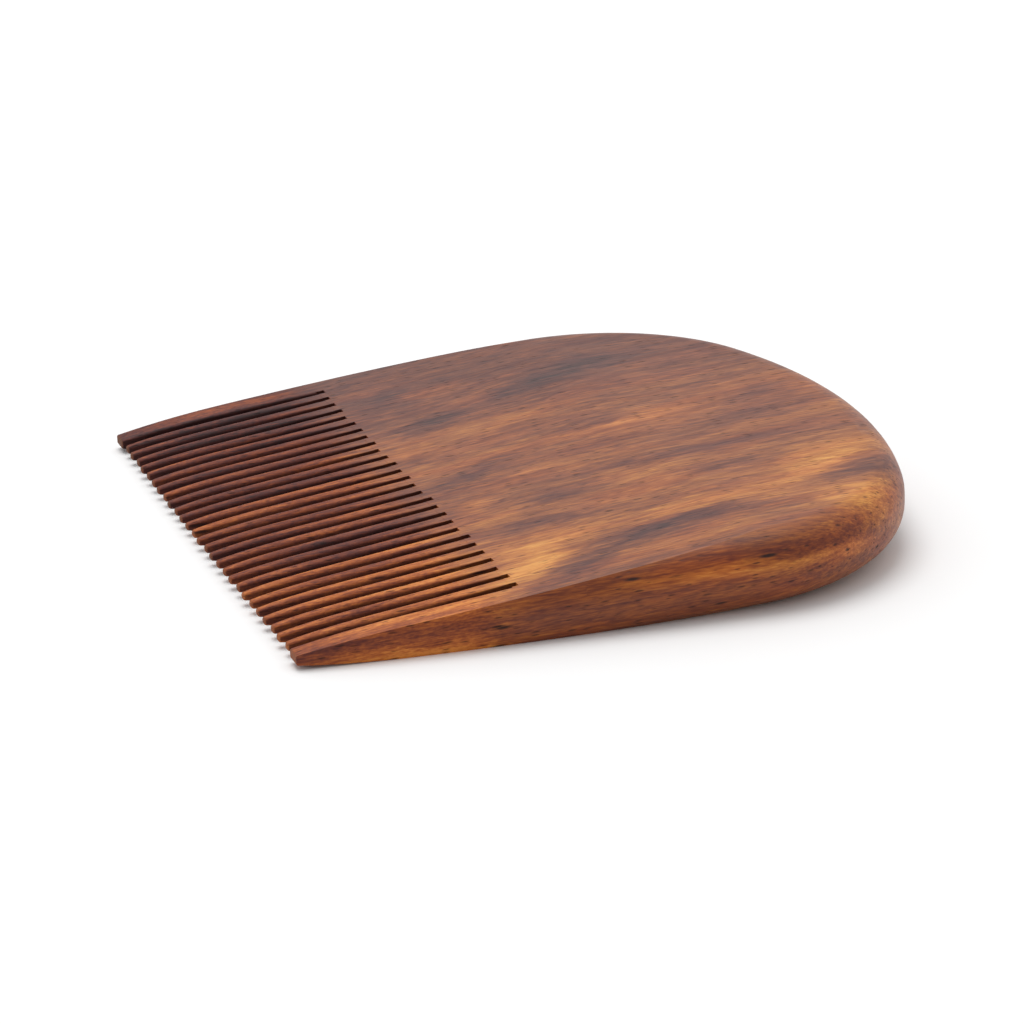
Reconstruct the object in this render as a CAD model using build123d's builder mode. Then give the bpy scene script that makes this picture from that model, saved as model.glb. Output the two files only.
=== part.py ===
from build123d import *
import os
from math import asin, atan, cos, degrees, sin

# A D-shaped wooden pocket comb, sawn and sanded from one board. It lies on the taper of its
# lower face. Everything is drawn in the board's own directions: u runs along the comb from
# the roots of the teeth to the round end, v runs across it, and w is the height above the
# board's middle plane. All lengths are in millimetres.

# Teeth
tooth_pitch = 2.2
gap_count = 28
saw_kerf = 0.84
tooth_length = 22.3
tip_bow = 0.25
tip_thickness = 0.95
tooth_tip_width = 0.9
tooth_end_radius = 0.3
guard_edge_radius = 0.3
guard_end_radius = 0.2

# The body ends this far outside the line of the gap ends, so each tooth has a short root on it
root_stub = 0.6
gap_depth_scatter = 0.16
tip_scatter = 0.16
sanding_relief = 0.015
tip_relief = 0.12

# Outline
body_length = 48.3
half_width = 34.0
tip_half_width = 32.2
shoulder_u = 23.6
corner_radius = 22.7

# Thickness and faces
board_thickness = 7.5
edge_radius = 3.3
taper_start_u = 23.5
taper_blend_radius = 58.0
face_slope = 0.061
tip_taper_u = -11.0

tooth_count = gap_count - 1
tooth_width = tooth_pitch - saw_kerf
guard_wall = (gap_count - 1) / 2 * tooth_pitch + saw_kerf / 2


def tooth_end(index):
    """Where a tooth ends: the line of the tips bows outwards, and no two teeth are equally long."""
    across = 2 * index / (tooth_count - 1) - 1
    return tip_scatter * (0.5 + 0.5 * sin(3.7 * index + 0.8)) - tooth_length - tip_bow * (1 - across**2)


# The lower taper lies on the surface, so the board's middle plane leans by the slope's angle
lean = atan(face_slope)
root_half_thickness = board_thickness / 2 - face_slope * taper_start_u
rest_height = root_half_thickness * cos(lean)
low_end_x = min(tooth_end(index) for index in range(tooth_count)) * cos(lean)
edge_centre_u = body_length - edge_radius
edge_centre_w = board_thickness / 2 - edge_radius
high_end_x = edge_centre_u * cos(lean) + edge_centre_w * sin(lean) + edge_radius
centre_shift = -(low_end_x + high_end_x) / 2

board = Plane(
    origin=(centre_shift, 0, rest_height),
    x_dir=(cos(lean), 0, sin(lean)),
    z_dir=(-sin(lean), 0, cos(lean)),
)
side = Plane(origin=board.origin, x_dir=board.x_dir, z_dir=(0, -1, 0))


def half_thickness(u):
    """Half the board's thickness on the teeth, on the straight taper and on the tip's arc."""
    taper = root_half_thickness + face_slope * u
    if u > tip_taper_u:
        return taper
    tip_run = tip_taper_u + tooth_length
    tip_drop = root_half_thickness - face_slope * tooth_length - tip_thickness / 2
    return taper - tip_drop * ((tip_taper_u - u) / tip_run) ** 2


def gap_end(index):
    """How far a saw cut runs past the line of the gap ends: no two cuts are equally deep."""
    return gap_depth_scatter * (sin(2.4 * index) + 0.6 * sin(5.1 * index + 1))


def section_plane(u, v):
    """A plane across the comb at u, centred on v and facing the tips."""
    origin = board.from_local_coords(Vector(u, v, 0))
    return Plane(origin=origin, x_dir=(0, -1, 0), z_dir=-board.x_dir)


# The outline's round end is one large arc, inside which each corner arc lies and touches
side_rise = half_width - tip_half_width
side_run = shoulder_u + tooth_length
side_radius = (side_run**2 + side_rise**2) / (2 * side_rise)
corner_v = half_width - corner_radius
reach = body_length - corner_radius
end_centre_u = (reach**2 - shoulder_u**2 - corner_v**2) / (2 * (reach - shoulder_u))
end_radius = body_length - end_centre_u
end_angle = degrees(asin(corner_v / (end_radius - corner_radius)))
side_angle = degrees(asin(side_run / side_radius))

# The whole board, before the gaps are sawn: its edges are rounded first and its faces are
# tapered afterwards, so the taper leaves a crisp edge that fades out towards the round end
with BuildPart() as blank:
    with BuildSketch(board.offset(-board_thickness / 2)):
        with BuildLine():
            CenterArc((shoulder_u, half_width - side_radius), side_radius, 90, side_angle)
            CenterArc((shoulder_u, corner_v), corner_radius, end_angle, 90 - end_angle)
            CenterArc((end_centre_u, 0), end_radius, 0, end_angle)
            mirror(about=Plane.XZ)
            Line((-tooth_length, -tip_half_width), (-tooth_length, tip_half_width))
        make_face()
    extrude(amount=board_thickness)
    rims = blank.faces().sort_by(Axis(board.origin, board.z_dir))
    rim_edges = rims[0].edges() + rims[-1].edges()
    tip_line = rim_edges.filter_by(Axis.Y)
    fillet([edge for edge in rim_edges if edge not in tip_line], radius=edge_radius)

    with BuildSketch(side) as profile:
        far_u = body_length + 1
        taper_end = (tip_taper_u, half_thickness(tip_taper_u))
        tip_corner = (-tooth_length, tip_thickness / 2)
        with BuildLine():
            Line((far_u, 0), (far_u, board_thickness / 2))
            Line((far_u, board_thickness / 2), (taper_start_u, board_thickness / 2))
            Line((taper_start_u, board_thickness / 2), taper_end)
            TangentArc([taper_end, tip_corner], tangent=(-1, -face_slope))
            mirror(about=Plane.XZ)
            Line(tip_corner, (-tooth_length, -tip_thickness / 2))
        make_face()
        taper_corners = profile.vertices().filter_by_position(
            Axis.X, taper_start_u - 0.01, taper_start_u + 0.01
        )
        fillet(taper_corners, radius=taper_blend_radius)
    extrude(amount=half_width + 1, both=True, mode=Mode.INTERSECT)

os.makedirs("parts", exist_ok=True)

# The body: the grip, with the ends of the saw cuts and the short roots of the teeth
root_plane = Plane(
    origin=board.from_local_coords(Vector(-root_stub, 0, 0)),
    x_dir=(0, 1, 0),
    z_dir=board.x_dir,
)
with BuildPart() as grip_plate:
    add(blank.part)
    split(bisect_by=root_plane, keep=Keep.TOP)
    with BuildSketch(board.offset(-board_thickness / 2)):
        for index in range(gap_count):
            gap_v = (index - (gap_count - 1) / 2) * tooth_pitch
            depth = root_stub + gap_end(index)
            with Locations((depth / 2 - root_stub, gap_v)):
                Rectangle(depth, saw_kerf)
    extrude(amount=board_thickness, mode=Mode.SUBTRACT)
grip_plate.part.label = "grip_plate"
export_step(grip_plate.part, "parts/grip_plate.step")

# The two end teeth keep the board's own side, so they widen towards the body
for guard_name, side_sign in (("guard_tooth_left", -1), ("guard_tooth_right", 1)):
    with BuildPart() as guard_tooth:
        add(blank.part)
        split(bisect_by=root_plane, keep=Keep.BOTTOM)
        wall = Plane(
            origin=board.from_local_coords(Vector(0, side_sign * guard_wall, 0)),
            x_dir=board.x_dir,
            z_dir=(0, side_sign, 0),
        )
        split(bisect_by=wall, keep=Keep.TOP)
        along = Axis(board.origin, board.x_dir)
        inner_face = guard_tooth.faces().sort_by(Axis.Y)[0 if side_sign > 0 else -1]
        inner_edges = inner_face.edges()
        root_edge = inner_edges.sort_by(along)[-1]
        tip_edge = inner_edges.sort_by(along)[0]
        long_edges = [edge for edge in inner_edges if edge not in (root_edge, tip_edge)]
        fillet(long_edges, radius=guard_edge_radius)
        end_edges = guard_tooth.faces().sort_by(along)[0].edges().filter_by(Axis.Y)
        fillet(end_edges, radius=guard_end_radius)
    guard_tooth.part.label = guard_name
    export_step(guard_tooth.part, f"parts/{guard_name}.step")

# Each inner tooth is lofted through rounded sections: square at the root, where the saw left
# it, and crowned further out, where it has been sanded round and below the guard teeth's faces
for index in range(tooth_count):
    tooth_v = (index - (tooth_count - 1) / 2) * tooth_pitch
    end_u = tooth_end(index)
    sections = (
        (-root_stub, tooth_width, sanding_relief, 0.05),
        (-root_stub - 4, tooth_width * 0.98, sanding_relief, 0.3),
        (tip_taper_u, tooth_width * 0.95, sanding_relief * 2, 0.58),
        (end_u + 2.5, tooth_width * 0.86, sanding_relief * 3, 0.46),
        (end_u, tooth_tip_width, tip_relief, 0.29),
    )
    with BuildPart() as tooth:
        for u, width, relief, radius in sections:
            with BuildSketch(section_plane(u, tooth_v)):
                RectangleRounded(width, 2 * (half_thickness(u) - relief), radius)
        loft()
        tip_face = tooth.faces().sort_by(Axis(board.origin, board.x_dir))[0]
        fillet(tip_face.edges(), radius=tooth_end_radius)
    tooth_name = f"tooth_{index + 1:02d}"
    tooth.part.label = tooth_name
    export_step(tooth.part, f"parts/{tooth_name}.step")
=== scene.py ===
from math import atan, atan2, cos, hypot, radians, sin

import bpy
from mathutils import Matrix, Vector

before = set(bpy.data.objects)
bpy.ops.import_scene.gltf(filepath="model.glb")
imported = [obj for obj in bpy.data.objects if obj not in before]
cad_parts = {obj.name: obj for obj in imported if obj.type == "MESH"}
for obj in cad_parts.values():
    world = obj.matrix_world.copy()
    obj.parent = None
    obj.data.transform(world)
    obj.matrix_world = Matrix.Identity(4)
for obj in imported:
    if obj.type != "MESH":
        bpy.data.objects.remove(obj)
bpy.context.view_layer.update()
scene = bpy.context.scene
MM = 0.001

# Camera, in millimetres and degrees: a long lens, low over the toothed corner of the comb
LOOK_AT = (-6.16, -10.11, 4.0)
AZIMUTH = -20.47
ELEVATION = 20.41
ROLL = 0.36
DISTANCE = 352.97
LENS = 126.47
SENSOR = 36

# Light: white surroundings, brightest behind the comb, and one large soft light overhead
FLOOR_SIZE = 4.0
FLOOR_COLOUR = (0.9, 0.9, 0.9)
FLOOR_ROUGHNESS = 0.8
BEHIND = (0.10, 0.95, 0.30)
BRIGHT_BEHIND = 0.98
DIM_IN_FRONT = 0.44
FADE_REACH = 0.7
KEY_POSITION = (-40, 170, 680)
KEY_SIZE = 0.5
KEY_POWER = 2.3

# The comb's own directions, in millimetres: u along it from the roots of the teeth, v across,
# w above the board's middle plane, which leans because the comb lies on its lower taper
LEAN = atan(0.061)
ROOT_PLANE_X = -12.87
ROOT_PLANE_Z = 2.31
GUARD_WALL = 30.12
TIP_U = -22.0
SIDE_V = -33.5

# Tone of the wood: 0 is the darkest plum, 1 the palest gold
TONE_COLOURS = [
    (0.00, (0.026, 0.006, 0.006)),
    (0.20, (0.080, 0.016, 0.011)),
    (0.40, (0.165, 0.041, 0.013)),
    (0.58, (0.285, 0.082, 0.015)),
    (0.78, (0.460, 0.162, 0.024)),
    (1.00, (0.660, 0.300, 0.050)),
]
# Mean tone across the top face, from the near edge to the far edge
TONE_ACROSS = [
    (-34, 0.50),
    (-24, 0.56),
    (-14, 0.52),
    (-4, 0.47),
    (6, 0.52),
    (14, 0.40),
    (22, 0.34),
    (34, 0.34),
]
# Streaks fade out beyond their ends and sides, and reach this deep into the board
STREAK_LENGTH = 0.66
STREAK_WIDTH = 2.0
STREAK_DEPTH = 7.0
TOP_STREAK_W = 3.0
# Broad streaks of the figure on the top face: both ends (u, v), half width, change of tone
TOP_STREAKS = [
    ((11, -26), (29, -24.4), 1.4, -0.42),
    ((32, -24), (46, -19), 1.7, -0.36),
    ((3, -32), (14, -27), 1.6, -0.36),
    ((0, -18.5), (17, -17), 1.0, -0.22),
    ((8, -13), (17, -11), 1.2, -0.24),
    ((0, -4), (13, 0.5), 1.5, -0.20),
    ((28, -3), (46, -1.5), 1.7, -0.10),
    ((19, -8), (40, -8.5), 1.2, -0.18),
    ((16, 3), (25, 5), 1.4, -0.20),
    ((4, 13), (12, 15.5), 1.8, -0.22),
    ((14, 16.5), (33, 21.5), 1.6, -0.24),
    ((0, 20), (8, 26), 2.0, -0.16),
    ((36, 2), (46, 6), 1.6, -0.20),
    ((22, -13), (36, -14.5), 1.0, -0.18),
    ((0, -25), (14, -21), 1.8, 0.24),
    ((12, -22.5), (34, -20.5), 2.2, 0.20),
    ((28, -21), (47, -14), 2.6, 0.34),
    ((-1, -28.5), (11, -25.5), 1.8, 0.34),
    ((0, -16), (8, -14.5), 1.2, 0.16),
    ((0, -11.5), (7, -8), 1.3, 0.16),
    ((12, -10), (30, -11), 1.2, 0.10),
    ((0, 8), (9, 8.5), 1.9, 0.16),
    ((9, 9), (22, 10.5), 1.7, 0.12),
    ((18, 1), (33, 3.5), 1.8, 0.10),
    ((6, 22.5), (13, 22.5), 1.4, 0.12),
    ((29, -28), (43, -24), 2.6, 0.36),
    ((12, -31), (27, -29.5), 1.2, 0.12),
]
# The same on the near side face: both ends (u, w), half width, change of tone
SIDE_STREAKS = [
    ((10, 1.4), (30, 0.4), 0.7, 0.30),
    ((26, 0.4), (41, -0.6), 0.8, 0.26),
    ((-19, -0.6), (0, -2.2), 0.45, 0.34),
    ((-12, 0.4), (12, -0.6), 0.9, -0.10),
    ((-22, 0.9), (-3, 1.0), 0.7, -0.24),
    ((20, 2.4), (36, 1.4), 0.6, -0.16),
]

# Layers of the wood: the size of a cell (u, v, w) in millimetres, its turn in the face in degrees
DRIFT = dict(cell=(22, 9, 6), detail=1.0)
DRIFT_REACH = (10, 5, 2.5)
FRAY = dict(cell=(4, 0.6, 0.6), detail=3.0, turn=4)
FRAY_REACH = (8, 1.6, 1.2)
BANDS = dict(cell=(40, 5, 4), detail=2.0, turn=8, seed=3.1)
THREADS = dict(cell=(10, 0.7, 0.7), detail=4.0, roughness=0.6, turn=5, seed=7.7)
STRANDS = dict(cell=(4.5, 0.32, 0.32), detail=2.0, turn=-4, seed=4.2)
FIBRES = dict(cell=(1.8, 0.13, 0.13), detail=1.0, turn=-5, seed=1.9)
EACH_TOOTH = dict(cell=(26, 2.0, 9), detail=1.0, seed=9.4)
GRIT = dict(cell=(0.5, 0.18, 0.18), detail=1.0, seed=6.3)
TINT = dict(cell=(16, 2.5, 2.5), detail=2.0, turn=5, seed=2.6)
# How strongly each layer changes the tone
BAND_TONE = 0.45
THREAD_TONE = 0.58
STRAND_TONE = 0.48
FIBRE_TONE = 0.44
TOOTH_TONE = 0.9
GRIT_TONE = 0.45
# Painted shade: faces turned sideways are made a little darker
SIDE_SHADE_TONE = -0.02

# Ranges: from low to high of the value read, and then from low to high of the value given
# Faces turned sideways: they take more coarse pores, and painted shade
SIDE_FACING = (0.93, 0.55)
TEETH_U = (1.0, -6.0)
# Painted shade: the teeth towards the far side are darker
FAR_TEETH_SHADE = (-22.0, 2.0, -0.03, 0.10)
# Painted highlight: tooth faces that turn upwards are paler
CROWN_HIGHLIGHT = (0.75, 0.99, 0.0, 0.10)
TINT_REDDER = (0.42, 0.64, 0.0, 0.45)
# Walls of the gaps between the teeth: more roughness, and painted shade
SAWN_FACING = (0.70, 0.97)
SAWN_INSIDE = (GUARD_WALL + 0.6, GUARD_WALL + 0.5)
SAWN_U = (0.4, 0.2)
TIP_REGION = (TIP_U + 0.8, TIP_U)
TIP_FACING = (-0.25, -0.75)
# How far each feature covers the colour under it
# Painted shade: faces turned sideways are made redder
SIDE_SHADE_REDDENING = 0.4
TEETH_REDDENING = 0.8
FINE_PORE_COVER = 0.75
PORE_COVER = 0.92
# Painted shade on the walls of the gaps between the teeth
GAP_SHADE_COVER = 0.6
TIP_COVER = 0.35

# Pores: the size of a cell, the radius in cells, and the share of the cells that hold one
FINE_PORES = dict(cell=(1.7, 0.34, 0.30), reach=0.38, share=1.0, seed=0.0)
COARSE_PORES = dict(cell=(4.4, 0.90, 0.75), reach=0.30, share=0.70, seed=5.3)
PORE_TURN = -5
PORE_EDGE = 0.5

# Multiplies the colour where it turns redder: the random tint, the teeth, and painted shade on faces
# turned sideways
REDDENING = (1.0, 0.70, 0.74, 1)
PORE_COLOUR = (0.016, 0.005, 0.004, 1)
# Painted shade: the colour of the walls of the gaps between the teeth
GAP_SHADE_COLOUR = (0.030, 0.006, 0.004, 1)
TIP_COLOUR = (0.30, 0.14, 0.07, 1)
WOOD_ROUGHNESS = 0.42
WOOD_IOR = 1.40
BUMP_STRENGTH = 0.6
BUMP_DEPTH = 0.05


class Graph:
    """Short calls for the nodes of one material."""

    def __init__(self, name):
        self.material = bpy.data.materials.new(name)
        self.material.use_nodes = True
        self.tree = self.material.node_tree
        self.shader = self.tree.nodes["Principled BSDF"]

    def node(self, kind, values=(), **settings):
        node = self.tree.nodes.new(kind)
        for key, value in settings.items():
            setattr(node, key, value)
        for socket, value in values:
            self.put(value, node.inputs[socket])
        return node

    def put(self, value, socket):
        if isinstance(value, bpy.types.NodeSocket):
            self.tree.links.new(value, socket)
        else:
            socket.default_value = value

    def math(self, operation, *values, clamp=False):
        node = self.node("ShaderNodeMath", enumerate(values), operation=operation, use_clamp=clamp)
        return node.outputs[0]

    def vector(self, operation, *values):
        return self.node("ShaderNodeVectorMath", enumerate(values), operation=operation).outputs[0]

    def mapping(self, vector, kind, location=(0, 0, 0), rotation=(0, 0, 0), scale=(1, 1, 1)):
        values = [("Vector", vector), ("Location", location), ("Rotation", rotation), ("Scale", scale)]
        return self.node("ShaderNodeMapping", values, vector_type=kind).outputs[0]

    def noise(self, place, cell, detail=2.0, roughness=0.5, turn=0.0, seed=0.0):
        """Noise with cells of the given (u, v, w) size in millimetres, turned in the face."""
        inside = self.mapping(place, "TEXTURE", (seed, seed, seed), (0, 0, radians(turn)), cell)
        values = [("Vector", inside), ("Scale", 1.0), ("Detail", detail), ("Roughness", roughness)]
        return self.node("ShaderNodeTexNoise", values)

    def around_zero(self, place, layer):
        """The value of one noise layer, less its mean of a half."""
        return self.math("SUBTRACT", self.noise(place, **layer).outputs["Fac"], 0.5)

    def ranged(self, value, low, high, to_low=0.0, to_high=1.0, smooth=False):
        values = [("Value", value), ("From Min", low), ("From Max", high)]
        values += [("To Min", to_low), ("To Max", to_high)]
        kind = "SMOOTHSTEP" if smooth else "LINEAR"
        return self.node("ShaderNodeMapRange", values, interpolation_type=kind).outputs["Result"]

    def ramp(self, value, stops):
        node = self.node("ShaderNodeValToRGB", [("Fac", value)])
        elements = node.color_ramp.elements
        while len(elements) < len(stops):
            elements.new(1.0)
        for element, (position, colour) in zip(elements, stops):
            element.position = position
            element.color = (*colour, 1)
        return node.outputs["Color"]

    def mix(self, factor, first, second, blend="MIX"):
        node = self.node("ShaderNodeMix", data_type="RGBA", blend_type=blend)
        self.put(factor, node.inputs["Factor"])
        self.put(first, node.inputs[6])
        self.put(second, node.inputs[7])
        return node.outputs[2]


def streak(graph, place, middle, turn, size):
    """How deep a point is inside one long soft streak, from 0 at its edge to 1 in its middle."""
    inside = graph.mapping(place, "TEXTURE", middle, turn, size)
    ball = graph.node("ShaderNodeTexGradient", [("Vector", inside)], gradient_type="SPHERICAL")
    return graph.ranged(ball.outputs["Fac"], 0.0, 1.0, smooth=True)


def channels(graph, place, cell, reach, share, seed):
    """Pores: the share of the cells that hold one, each a soft ellipsoid along the fibres."""
    inside = graph.mapping(place, "TEXTURE", (seed, seed, seed), (0, 0, radians(PORE_TURN)), cell)
    cells = graph.node("ShaderNodeTexVoronoi", [("Vector", inside), ("Scale", 1.0)])
    pick = graph.node("ShaderNodeSeparateColor", [(0, cells.outputs["Color"])]).outputs[0]
    size = graph.ranged(pick, 1.0 - share, 1.0, 0.0, reach)
    depth = graph.math("SUBTRACT", size, cells.outputs["Distance"])
    return graph.math("DIVIDE", depth, reach * PORE_EDGE, clamp=True)


def board_place(g):
    """The point on the board, (u, v, w) in millimetres, the same across all the pieces."""
    start = g.node("ShaderNodeTexCoord").outputs["Object"]
    to_board = Matrix.Rotation(LEAN, 3, "Y")
    origin = to_board @ Vector((ROOT_PLANE_X, 0, ROOT_PLANE_Z))
    return g.mapping(start, "POINT", -origin, (0, LEAN, 0), (1 / MM, 1 / MM, 1 / MM))


def wandering(g, place):
    """The place in the figure: it wanders slowly, and its borders fray along the fibres."""
    half = (0.5, 0.5, 0.5)
    drift = g.vector("SUBTRACT", g.noise(place, **DRIFT).outputs["Color"], half)
    fray = g.vector("SUBTRACT", g.noise(place, **FRAY).outputs["Color"], half)
    figure = g.vector("MULTIPLY_ADD", drift, DRIFT_REACH, place)
    return g.vector("MULTIPLY_ADD", fray, FRAY_REACH, figure)


def streaked_tone(g, figure, v):
    """The mean tone across the board, with the broad streaks of both faces laid over it."""
    across = g.ranged(v, TONE_ACROSS[0][0], TONE_ACROSS[-1][0])
    width = TONE_ACROSS[-1][0] - TONE_ACROSS[0][0]
    stops = [((at - TONE_ACROSS[0][0]) / width, (tone,) * 3) for at, tone in TONE_ACROSS]
    tone = g.ramp(across, stops)
    for (u0, v0), (u1, v1), half_width, change in TOP_STREAKS:
        length = hypot(u1 - u0, v1 - v0)
        middle = ((u0 + u1) / 2, (v0 + v1) / 2, TOP_STREAK_W)
        turn = (0, 0, atan2(v1 - v0, u1 - u0))
        size = (STREAK_LENGTH * length, STREAK_WIDTH * half_width, STREAK_DEPTH)
        tone = g.math("MULTIPLY_ADD", streak(g, figure, middle, turn, size), change, tone)
    for (u0, w0), (u1, w1), half_width, change in SIDE_STREAKS:
        length = hypot(u1 - u0, w1 - w0)
        middle = ((u0 + u1) / 2, SIDE_V, (w0 + w1) / 2)
        turn = (0, -atan2(w1 - w0, u1 - u0), 0)
        size = (STREAK_LENGTH * length, STREAK_DEPTH, STREAK_WIDTH * half_width)
        tone = g.math("MULTIPLY_ADD", streak(g, figure, middle, turn, size), change, tone)
    return tone


def comb_wood():
    g = Graph("heartwood")
    place = board_place(g)
    u, v = g.node("ShaderNodeSeparateXYZ", [(0, place)]).outputs[:2]

    figure = wandering(g, place)
    tone = streaked_tone(g, figure, v)

    facing = g.node("ShaderNodeNewGeometry").outputs["Normal"]
    normal = g.node("ShaderNodeSeparateXYZ", [(0, facing)]).outputs
    edge_on = g.ranged(g.math("ABSOLUTE", normal[2]), *SIDE_FACING, smooth=True)
    bands = g.around_zero(figure, BANDS)
    threads = g.around_zero(figure, THREADS)
    strands = g.noise(place, **STRANDS).outputs["Fac"]
    fibres = g.noise(place, **FIBRES).outputs["Fac"]
    tone = g.math("MULTIPLY_ADD", bands, BAND_TONE, tone)
    tone = g.math("MULTIPLY_ADD", threads, THREAD_TONE, tone)
    tone = g.math("MULTIPLY_ADD", g.math("SUBTRACT", strands, 0.5), STRAND_TONE, tone)
    tone = g.math("MULTIPLY_ADD", g.math("SUBTRACT", fibres, 0.5), FIBRE_TONE, tone)

    # Each tooth has its own tone, painted shade makes the far ones darker, all are gritty, and a
    # painted highlight makes their upward-facing tops paler
    on_teeth = g.ranged(u, *TEETH_U, smooth=True)
    # Painted shade: darker towards the far teeth
    far_teeth_shade = g.ranged(v, *FAR_TEETH_SHADE, smooth=True)
    each_tooth = g.math("MULTIPLY", g.around_zero(place, EACH_TOOTH), TOOTH_TONE)
    # Painted highlight on the upward-facing tops of the teeth
    crown_highlight = g.ranged(normal[2], *CROWN_HIGHLIGHT, smooth=True)
    change = g.math("ADD", g.math("SUBTRACT", each_tooth, far_teeth_shade), crown_highlight)
    change = g.math("MULTIPLY_ADD", g.around_zero(place, GRIT), GRIT_TONE, change)
    tone = g.math("MULTIPLY_ADD", on_teeth, change, tone)
    # Painted shade: faces turned sideways a little darker
    tone = g.math("MULTIPLY_ADD", edge_on, SIDE_SHADE_TONE, tone)
    colour = g.ramp(tone, TONE_COLOURS)
    tint = g.noise(figure, **TINT).outputs["Fac"]
    redder = g.mix(1.0, colour, REDDENING, blend="MULTIPLY")
    tint = g.ranged(tint, *TINT_REDDER)
    # Redder with the random tint and on the teeth, and painted shade makes faces turned sideways
    # redder
    reddening_and_side_shade = g.math("MULTIPLY_ADD", edge_on, SIDE_SHADE_REDDENING, tint, clamp=True)
    reddening_and_side_shade = g.math("MAXIMUM", reddening_and_side_shade, g.math("MULTIPLY", on_teeth, TEETH_REDDENING))
    colour = g.mix(reddening_and_side_shade, colour, redder)

    # Pores: short dark channels along the fibres, and dots where the end of the grain shows
    fine = channels(g, place, **FINE_PORES)
    coarse = channels(g, place, **COARSE_PORES)
    coarse = g.math("MULTIPLY", coarse, g.ranged(edge_on, 0.0, 1.0, 0.05, 1.0))
    pores = g.math("MAXIMUM", g.math("MULTIPLY", fine, FINE_PORE_COVER), coarse)
    colour = g.mix(g.math("MULTIPLY", pores, PORE_COVER), colour, PORE_COLOUR)

    # Saw cuts between the teeth: rough walls, darkened with painted shade
    wall = g.ranged(g.math("ABSOLUTE", normal[1]), *SAWN_FACING, smooth=True)
    inner = g.ranged(g.math("ABSOLUTE", v), *SAWN_INSIDE)
    sawn_wall_and_gap_shade = g.math("MULTIPLY", g.math("MULTIPLY", wall, inner), g.ranged(u, *SAWN_U))
    colour = g.mix(g.math("MULTIPLY", sawn_wall_and_gap_shade, GAP_SHADE_COVER), colour, GAP_SHADE_COLOUR)

    # Tips: bare end grain, a little paler
    tip_end = g.ranged(u, *TIP_REGION, smooth=True)
    tip = g.math("MULTIPLY", tip_end, g.ranged(normal[0], *TIP_FACING, smooth=True))
    colour = g.mix(g.math("MULTIPLY", tip, TIP_COVER), colour, TIP_COLOUR)

    rough = g.math("MULTIPLY_ADD", threads, -0.25, WOOD_ROUGHNESS)
    rough = g.math("MULTIPLY_ADD", pores, 0.25, rough)
    rough = g.math("MULTIPLY_ADD", on_teeth, 0.22, rough)
    rough = g.math("MULTIPLY_ADD", g.math("MAXIMUM", sawn_wall_and_gap_shade, tip), 0.2, rough)

    height = g.math("MULTIPLY_ADD", fibres, 0.3, g.math("MULTIPLY", pores, -0.6))
    height = g.math("MULTIPLY_ADD", strands, 0.35, height)
    bump = g.node("ShaderNodeBump", [("Height", height), ("Strength", BUMP_STRENGTH)])
    bump.inputs["Distance"].default_value = BUMP_DEPTH * MM

    g.put(colour, g.shader.inputs["Base Color"])
    g.put(rough, g.shader.inputs["Roughness"])
    g.put(bump.outputs[0], g.shader.inputs["Normal"])
    g.shader.inputs["IOR"].default_value = WOOD_IOR
    return g.material


def make_camera():
    data = bpy.data.cameras.new("camera")
    data.lens = LENS
    data.sensor_width = SENSOR
    data.clip_start = 0.01
    camera = bpy.data.objects.new("camera", data)
    scene.collection.objects.link(camera)
    azimuth, elevation = radians(AZIMUTH), radians(ELEVATION)
    back = Vector((sin(azimuth) * cos(elevation), -cos(azimuth) * cos(elevation), sin(elevation)))
    camera.location = (Vector(LOOK_AT) + back * DISTANCE) * MM
    turn = back.to_track_quat("Z", "Y").to_matrix() @ Matrix.Rotation(radians(ROLL), 3, "Z")
    camera.rotation_euler = turn.to_euler()
    scene.camera = camera


def make_lights():
    world = bpy.data.worlds.new("world")
    scene.world = world
    world.use_nodes = True
    nodes, links = world.node_tree.nodes, world.node_tree.links
    toward = nodes.new("ShaderNodeVectorMath")
    toward.operation = "DOT_PRODUCT"
    toward.inputs[1].default_value = Vector(BEHIND).normalized()
    links.new(nodes.new("ShaderNodeTexCoord").outputs["Generated"], toward.inputs[0])
    fade = nodes.new("ShaderNodeMapRange")
    fade.interpolation_type = "SMOOTHSTEP"
    for socket, value in zip(fade.inputs[1:5], (-FADE_REACH, FADE_REACH, DIM_IN_FRONT, BRIGHT_BEHIND)):
        socket.default_value = value
    links.new(toward.outputs["Value"], fade.inputs["Value"])
    nodes["Background"].inputs["Color"].default_value = (1, 1, 1, 1)
    links.new(fade.outputs["Result"], nodes["Background"].inputs["Strength"])
    data = bpy.data.lights.new("key", "AREA")
    data.shape = "DISK"
    data.size = KEY_SIZE
    data.energy = KEY_POWER
    key = bpy.data.objects.new("key", data)
    scene.collection.objects.link(key)
    key.location = Vector(KEY_POSITION) * MM
    key.rotation_euler = key.location.to_track_quat("Z", "Y").to_euler()
    scene.view_settings.view_transform = "Standard"


def make_floor():
    mesh = bpy.data.meshes.new("floor")
    reach = FLOOR_SIZE / 2
    corners = [(-reach, -reach, 0), (reach, -reach, 0), (reach, reach, 0), (-reach, reach, 0)]
    mesh.from_pydata(corners, [], [(0, 1, 2, 3)])
    floor = bpy.data.objects.new("floor", mesh)
    scene.collection.objects.link(floor)
    g = Graph("floor")
    g.shader.inputs["Base Color"].default_value = (*FLOOR_COLOUR, 1)
    g.shader.inputs["Roughness"].default_value = FLOOR_ROUGHNESS
    mesh.materials.append(g.material)


make_camera()
make_lights()
make_floor()
wood = comb_wood()
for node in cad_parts.values():
    node.data.materials.clear()
    node.data.materials.append(wood)
